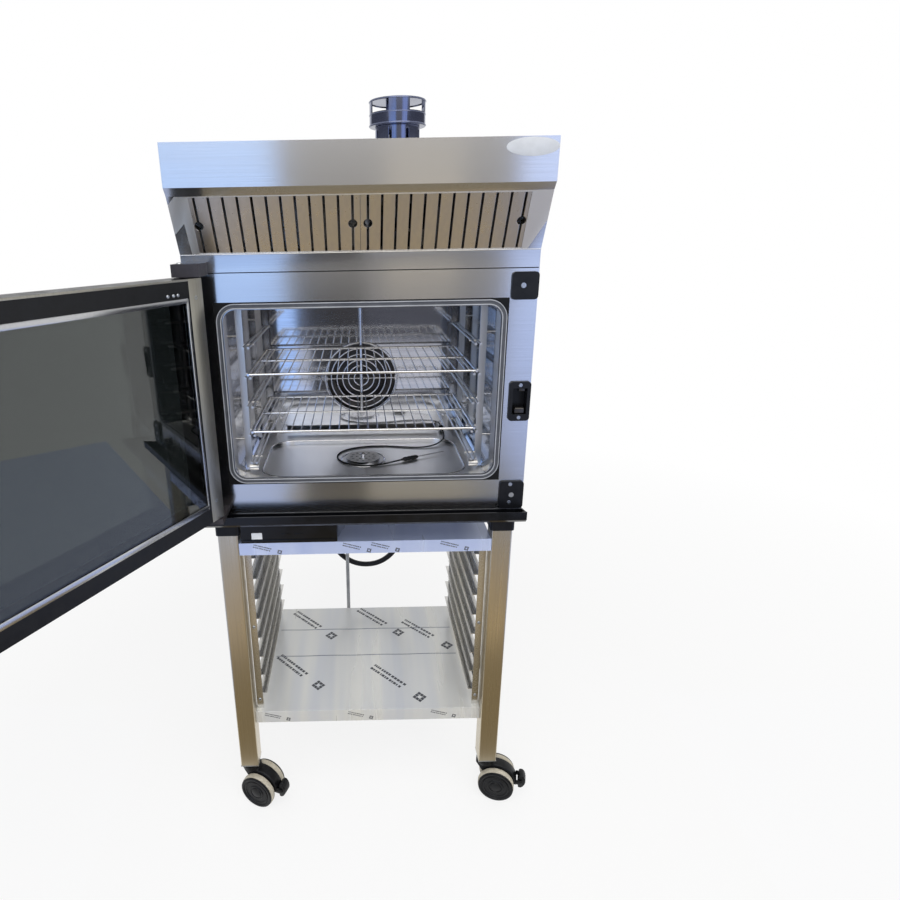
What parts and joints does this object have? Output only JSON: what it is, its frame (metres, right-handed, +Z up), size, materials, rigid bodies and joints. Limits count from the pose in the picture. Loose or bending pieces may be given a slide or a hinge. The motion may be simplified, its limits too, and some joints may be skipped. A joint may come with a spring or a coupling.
{
  "type": "combi oven",
  "caption": "Electric combi oven with an open left-hinged glass door, wire racks, extractor hood and flue, on a wheeled stand with tray runners.",
  "frame": {"origin": "on the floor, straight below the middle of the oven's front frame face", "axes": "+Z up, +Y from the front to the back, +X to the right as seen from the front"},
  "size_m": [1.2082, 1.3955, 1.817],
  "materials": {
    "stand_steel": "brushed stainless square tube and folded sheet",
    "filmed_steel": "stainless sheet still under its pale protective film",
    "casing_steel": "brushed stainless sheet",
    "cavity_steel": "bright rolled stainless sheet",
    "bright_wire": "electropolished stainless wire",
    "heater_steel": "heat-darkened sheathed heating tube",
    "caster_steel": "zinc-plated steel",
    "caster_plastic": "moulded black nylon",
    "tread_rubber": "pale non-marking tread",
    "black_plastic": "moulded black plastic",
    "black_metal": "black-coated metal",
    "latch_steel": "turned stainless bar",
    "motor_metal": "die-cast and galvanised",
    "gasket_rubber": "grey silicone extrusion",
    "hose_rubber": "black rubber",
    "mineral_wool": "pressed mineral wool",
    "clear_glass": "clear toughened glass",
    "tinted_glass": "dark reflective toughened glass",
    "drain_plastic": "grey plastic pipe",
    "fitting_brass": "machined brass"
  },
  "bodies": {
    "oven": {"front_legs": "stand_steel", "rear_legs": "stand_steel", "tray_ladder_left": "stand_steel", "tray_ladder_right": "stand_steel", "stand_top": "filmed_steel", "stand_shelf": "filmed_steel", "base_pan": "casing_steel", "front_frame": "casing_steel", "side_panels": "casing_steel", "top_panel": "casing_steel", "rear_panel": "casing_steel", "hood_shell": "casing_steel", "hood_filters": "casing_steel", "cavity_liner": "cavity_steel", "fan_baffle": "cavity_steel", "steam_pipe": "cavity_steel", "drain_strainer": "cavity_steel", "rack_ladder_left": "cavity_steel", "rack_ladder_right": "cavity_steel", "fan_grille": "bright_wire", "core_probe": "bright_wire", "heating_element": "heater_steel", "caster_stems": "caster_steel", "corner_blocks": "black_plastic", "latch_keeper": "black_plastic", "drip_gutter": "black_plastic", "oven_feet": "black_plastic", "hinge_brackets": "black_metal", "flue_neck": "black_metal", "flue_cap": "black_metal", "fan_motor": "motor_metal", "hood_motor": "motor_metal", "door_gasket": "gasket_rubber", "siphon_hose": "hose_rubber", "probe_cable": "hose_rubber", "probe_grommet": "hose_rubber", "insulation": "mineral_wool", "drain_pipework": "drain_plastic", "rear_fittings": "fitting_brass"},
    "door": {"door_frame": "casing_steel", "inner_glass": "clear_glass", "outer_glass": "tinted_glass"},
    "handle": {"door_handle": "black_plastic", "door_latch": "latch_steel"},
    "lower_rack": {"lower_rack": "bright_wire"},
    "upper_rack": {"upper_rack": "bright_wire"},
    "drawer": {"drip_drawer": "black_plastic"},
    "oven_fan": {"fan_wheel": "cavity_steel"},
    "hood_fan": {"hood_fan": "motor_metal"},
    "plunger": {"door_plunger": "black_plastic"},
    "caster_front_left": {"caster_housing_front_left": "caster_plastic"},
    "wheels_front_left": {"caster_wheels_front_left": "caster_plastic"},
    "pedal_left": {"brake_pedal_left": "caster_plastic"},
    "caster_front_right": {"caster_housing_front_right": "caster_plastic"},
    "wheels_front_right": {"caster_wheels_front_right": "caster_plastic"},
    "pedal_right": {"brake_pedal_right": "caster_plastic"},
    "caster_rear_left": {"caster_housing_rear_left": "caster_plastic"},
    "wheels_rear_left": {"caster_wheels_rear_left": "caster_plastic"},
    "caster_rear_right": {"caster_housing_rear_right": "caster_plastic"},
    "wheels_rear_right": {"caster_wheels_rear_right": "caster_plastic"}
  },
  "joints": [
    {"name": "door_hinge", "type": "hinge", "parent": "oven", "child": "door", "pos_m": [-0.362, -0.048, 1.1775], "axis": [0, 0, 1], "range_deg": [-12, 118]},
    {"name": "handle_turn", "type": "hinge", "parent": "door", "child": "handle", "pos_m": [-0.69673, -0.67754, 1.1775], "axis": [0.8829, -0.4695, 0], "range_deg": [-45, 45]},
    {"name": "lower_rack_slide", "type": "slide", "parent": "oven", "child": "lower_rack", "axis": [0, 1, 0], "range_m": [-0.25, 0]},
    {"name": "upper_rack_slide", "type": "slide", "parent": "oven", "child": "upper_rack", "axis": [0, 1, 0], "range_m": [-0.25, 0]},
    {"name": "drawer_slide", "type": "slide", "parent": "oven", "child": "drawer", "axis": [0, 1, 0], "range_m": [-0.2, 0]},
    {"name": "oven_fan_spin", "type": "hinge", "parent": "oven", "child": "oven_fan", "pos_m": [0, 0.474, 1.145], "axis": [0, 1, 0], "continuous": true},
    {"name": "hood_fan_spin", "type": "hinge", "parent": "oven", "child": "hood_fan", "pos_m": [0.089, 0.2, 1.5475], "axis": [0, 0, 1], "continuous": true},
    {"name": "plunger_press", "type": "slide", "parent": "oven", "child": "plunger", "axis": [0, 1, 0], "range_m": [0, 0.005], "stiffness_N_per_m": 300},
    {"name": "swivel_front_left", "type": "hinge", "parent": "oven", "child": "caster_front_left", "pos_m": [-0.335, 0.033, 0.112], "axis": [0, 0, 1], "continuous": true},
    {"name": "roll_front_left", "type": "hinge", "parent": "caster_front_left", "child": "wheels_front_left", "pos_m": [-0.30394, 0.01917, 0.05], "axis": [0.4067, 0.9135, 0], "continuous": true},
    {"name": "brake_left", "type": "hinge", "parent": "caster_front_left", "child": "pedal_left", "pos_m": [-0.2441, -0.00747, 0.062], "axis": [0.4067, 0.9135, 0], "range_deg": [0, 15]},
    {"name": "swivel_front_right", "type": "hinge", "parent": "oven", "child": "caster_front_right", "pos_m": [0.335, 0.033, 0.112], "axis": [0, 0, 1], "continuous": true},
    {"name": "roll_front_right", "type": "hinge", "parent": "caster_front_right", "child": "wheels_front_right", "pos_m": [0.36768, 0.02363, 0.05], "axis": [0.2756, 0.9613, 0], "continuous": true},
    {"name": "brake_right", "type": "hinge", "parent": "caster_front_right", "child": "pedal_right", "pos_m": [0.43065, 0.00557, 0.062], "axis": [0.2756, 0.9613, 0], "range_deg": [0, 15]},
    {"name": "swivel_rear_left", "type": "hinge", "parent": "oven", "child": "caster_rear_left", "pos_m": [-0.335, 0.523, 0.112], "axis": [0, 0, 1], "continuous": true},
    {"name": "roll_rear_left", "type": "hinge", "parent": "caster_rear_left", "child": "wheels_rear_left", "pos_m": [-0.30305, 0.51137, 0.05], "axis": [0.342, 0.9397, 0], "continuous": true},
    {"name": "swivel_rear_right", "type": "hinge", "parent": "oven", "child": "caster_rear_right", "pos_m": [0.335, 0.523, 0.112], "axis": [0, 0, 1], "continuous": true},
    {"name": "roll_rear_right", "type": "hinge", "parent": "caster_rear_right", "child": "wheels_rear_right", "pos_m": [0.36695, 0.51137, 0.05], "axis": [0.342, 0.9397, 0], "continuous": true}
  ]
}
